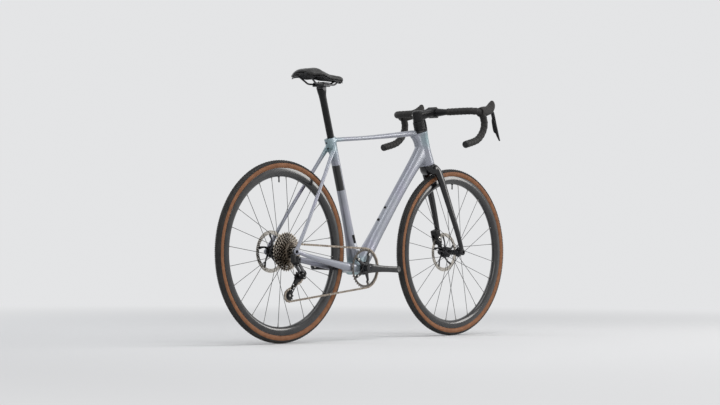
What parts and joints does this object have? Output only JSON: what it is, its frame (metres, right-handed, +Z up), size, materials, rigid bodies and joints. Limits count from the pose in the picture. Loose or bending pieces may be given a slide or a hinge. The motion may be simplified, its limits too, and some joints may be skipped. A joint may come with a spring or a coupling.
{
  "type": "cyclocross bicycle",
  "caption": "Drop-bar cyclocross bicycle with disc brakes, one chainring, a rear derailleur and knobbed tyres, standing on its wheels.",
  "frame": {"origin": "on the ground in the centre plane, midway between the two wheel axles", "axes": "+X towards the front wheel, +Y to the rider's left, +Z up"},
  "size_m": [1.7076, 0.4608, 1.0454],
  "materials": {
    "frame_paint": "pearl lilac silver gloss paint",
    "gloss_black": "gloss black lacquered carbon",
    "satin_black": "satin black",
    "rim_carbon": "dark satin carbon",
    "tyre_rubber": "black knobbed tread with tan sidewalls",
    "grip": "matt black",
    "saddle_cover": "matt black synthetic cover",
    "steel": "brushed",
    "chain_steel": "oiled, warm grey",
    "dark_alloy": "dark anodised",
    "pulley_resin": "black resin",
    "pad_compound": "friction compound"
  },
  "bodies": {
    "chassis": {"frame": "frame_paint", "lower_headset_bearing": "steel", "upper_headset_bearing": "steel", "bottom_bracket_cup_left": "satin_black", "bottom_bracket_cup_right": "satin_black", "rear_thru_axle": "satin_black", "seat_clamp_wedge": "dark_alloy", "rear_caliper": "satin_black", "derailleur_hanger": "dark_alloy", "b_knuckle": "dark_alloy", "battery": "satin_black", "chain": "chain_steel"},
    "fork_and_bars": {"fork": "gloss_black", "headset_cover": "satin_black", "headset_spacers": "satin_black", "stem": "satin_black", "stem_faceplate": "satin_black", "steerer_top_cap": "satin_black", "handlebar": "satin_black", "bar_tape_left": "grip", "bar_tape_right": "grip", "bar_end_plug_left": "satin_black", "bar_end_plug_right": "satin_black", "hood_left": "grip", "hood_right": "grip", "front_thru_axle": "satin_black", "front_caliper": "satin_black"},
    "front_wheel": {"front_hub": "satin_black", "front_rim": "rim_carbon", "front_tyre": "tyre_rubber", "front_rotor": "steel"},
    "rear_wheel": {"rear_hub": "satin_black", "rear_rim": "rim_carbon", "rear_tyre": "tyre_rubber", "rear_rotor": "steel"},
    "cassette": {"cassette": "chain_steel"},
    "cranks": {"right_crank": "satin_black", "left_crank": "satin_black", "chainring": "chain_steel"},
    "outer_link": {"outer_link": "dark_alloy"},
    "inner_link": {"inner_link": "dark_alloy"},
    "p_knuckle": {"p_knuckle": "dark_alloy"},
    "cage": {"cage": "dark_alloy"},
    "guide_pulley": {"guide_pulley": "pulley_resin"},
    "tension_pulley": {"tension_pulley": "pulley_resin"},
    "brake_lever_left": {"brake_lever_left": "dark_alloy"},
    "brake_lever_right": {"brake_lever_right": "dark_alloy"},
    "shift_paddle_left": {"shift_paddle_left": "satin_black"},
    "shift_paddle_right": {"shift_paddle_right": "satin_black"},
    "front_brake_pad_outer": {"front_brake_pad_outer": "pad_compound"},
    "front_brake_pad_inner": {"front_brake_pad_inner": "pad_compound"},
    "rear_brake_pad_outer": {"rear_brake_pad_outer": "pad_compound"},
    "rear_brake_pad_inner": {"rear_brake_pad_inner": "pad_compound"},
    "seatpost": {"seatpost": "satin_black"},
    "saddle_clamp": {"saddle_cradle": "dark_alloy", "saddle_clamp_plate": "dark_alloy"},
    "saddle": {"saddle_rails": "steel", "saddle_shell": "satin_black", "saddle_pad": "saddle_cover"}
  },
  "joints": [
    {"name": "steering", "type": "hinge", "parent": "chassis", "child": "fork_and_bars", "pos_m": [0.4672, 0, 0.33009], "axis": [-0.309, 0, 0.9511], "range_deg": [-70, 70]},
    {"name": "front_wheel_spin", "type": "hinge", "parent": "fork_and_bars", "child": "front_wheel", "pos_m": [0.51, 0, 0.344], "axis": [0, 1, 0], "continuous": true},
    {"name": "rear_wheel_spin", "type": "hinge", "parent": "chassis", "child": "rear_wheel", "pos_m": [-0.51, 0, 0.344], "axis": [0, 1, 0], "continuous": true},
    {"name": "crank_spin", "type": "hinge", "parent": "chassis", "child": "cranks", "pos_m": [-0.08595, 0, 0.281], "axis": [0, 1, 0], "continuous": true, "deforming": ["chain"]},
    {"name": "cassette_spin", "type": "hinge", "parent": "chassis", "child": "cassette", "pos_m": [-0.51, 0, 0.344], "axis": [0, 1, 0], "continuous": true},
    {"name": "derailleur_shift", "type": "hinge", "parent": "chassis", "child": "outer_link", "pos_m": [-0.4988, -0.0786, 0.3009], "axis": [0.781, 0.4196, 0.4625], "range_deg": [-22, 36], "deforming": ["chain"]},
    {"name": "inner_link_swing", "type": "hinge", "parent": "chassis", "child": "inner_link", "pos_m": [-0.50301, -0.06556, 0.29617], "axis": [0.781, 0.4196, 0.4625], "range_deg": [-22, 36]},
    {"name": "knuckle_swing", "type": "hinge", "parent": "outer_link", "child": "p_knuckle", "pos_m": [-0.47668, -0.08343, 0.26792], "axis": [0.781, 0.4196, 0.4625], "range_deg": [-36, 22]},
    {"name": "cage_swing", "type": "hinge", "parent": "p_knuckle", "child": "cage", "pos_m": [-0.466, -0.0513, 0.2515], "axis": [0, 1, 0], "range_deg": [-20, 50], "stiffness_Nm_per_rad": 0.8, "deforming": ["chain"]},
    {"name": "guide_pulley_spin", "type": "hinge", "parent": "cage", "child": "guide_pulley", "pos_m": [-0.47204, -0.0513, 0.24909], "axis": [0, 1, 0], "continuous": true},
    {"name": "tension_pulley_spin", "type": "hinge", "parent": "cage", "child": "tension_pulley", "pos_m": [-0.52212, -0.0513, 0.18037], "axis": [0, 1, 0], "continuous": true},
    {"name": "brake_lever_left_pull", "type": "hinge", "parent": "fork_and_bars", "child": "brake_lever_left", "pos_m": [0.52481, 0.18912, 0.9251], "axis": [0.2079, 0.9781, 0], "range_deg": [0, 18], "stiffness_Nm_per_rad": 1.2, "springref_deg": -11.46},
    {"name": "shift_paddle_left_push", "type": "hinge", "parent": "brake_lever_left", "child": "shift_paddle_left", "pos_m": [0.54281, 0.18435, 0.8926], "axis": [-0.9781, 0.2079, 0], "range_deg": [0, 8], "stiffness_Nm_per_rad": 0.4, "springref_deg": -17.19},
    {"name": "brake_lever_right_pull", "type": "hinge", "parent": "fork_and_bars", "child": "brake_lever_right", "pos_m": [0.52481, -0.18912, 0.9251], "axis": [-0.2079, 0.9781, 0], "range_deg": [0, 18], "stiffness_Nm_per_rad": 1.2, "springref_deg": -11.46},
    {"name": "shift_paddle_right_push", "type": "hinge", "parent": "brake_lever_right", "child": "shift_paddle_right", "pos_m": [0.54281, -0.18435, 0.8926], "axis": [0.9781, 0.2079, 0], "range_deg": [0, 8], "stiffness_Nm_per_rad": 0.4, "springref_deg": -17.19},
    {"name": "front_pad_outer_squeeze", "type": "slide", "parent": "fork_and_bars", "child": "front_brake_pad_outer", "axis": [0, -1, 0], "range_m": [0, 0.00025]},
    {"name": "front_pad_inner_squeeze", "type": "slide", "parent": "fork_and_bars", "child": "front_brake_pad_inner", "axis": [0, 1, 0], "range_m": [0, 0.00025]},
    {"name": "rear_pad_outer_squeeze", "type": "slide", "parent": "chassis", "child": "rear_brake_pad_outer", "axis": [0, -1, 0], "range_m": [0, 0.00025]},
    {"name": "rear_pad_inner_squeeze", "type": "slide", "parent": "chassis", "child": "rear_brake_pad_inner", "axis": [0, 1, 0], "range_m": [0, 0.00025]},
    {"name": "seatpost_height", "type": "slide", "parent": "chassis", "child": "seatpost", "axis": [-0.2924, 0, 0.9563], "range_m": [-0.04, 0.02]},
    {"name": "saddle_tilt", "type": "hinge", "parent": "seatpost", "child": "saddle_clamp", "pos_m": [-0.29513, 0, 0.97204], "axis": [0, 1, 0], "range_deg": [-6, 6]},
    {"name": "saddle_fore_aft", "type": "slide", "parent": "saddle_clamp", "child": "saddle", "axis": [1, 0, 0], "range_m": [-0.012, 0.012]}
  ],
  "couplings": [
    {"joint": "cassette_spin", "follows": "crank_spin", "ratio": 2.5333},
    {"joint": "guide_pulley_spin", "follows": "crank_spin", "ratio": -3.4545},
    {"joint": "tension_pulley_spin", "follows": "crank_spin", "ratio": 3.4545},
    {"joint": "inner_link_swing", "follows": "derailleur_shift", "ratio": 1},
    {"joint": "knuckle_swing", "follows": "derailleur_shift", "ratio": -1},
    {"joint": "front_pad_outer_squeeze", "follows": "brake_lever_left_pull", "m_per_rad": 0.00079},
    {"joint": "front_pad_inner_squeeze", "follows": "brake_lever_left_pull", "m_per_rad": 0.00079},
    {"joint": "rear_pad_outer_squeeze", "follows": "brake_lever_right_pull", "m_per_rad": 0.00079},
    {"joint": "rear_pad_inner_squeeze", "follows": "brake_lever_right_pull", "m_per_rad": 0.00079}
  ]
}
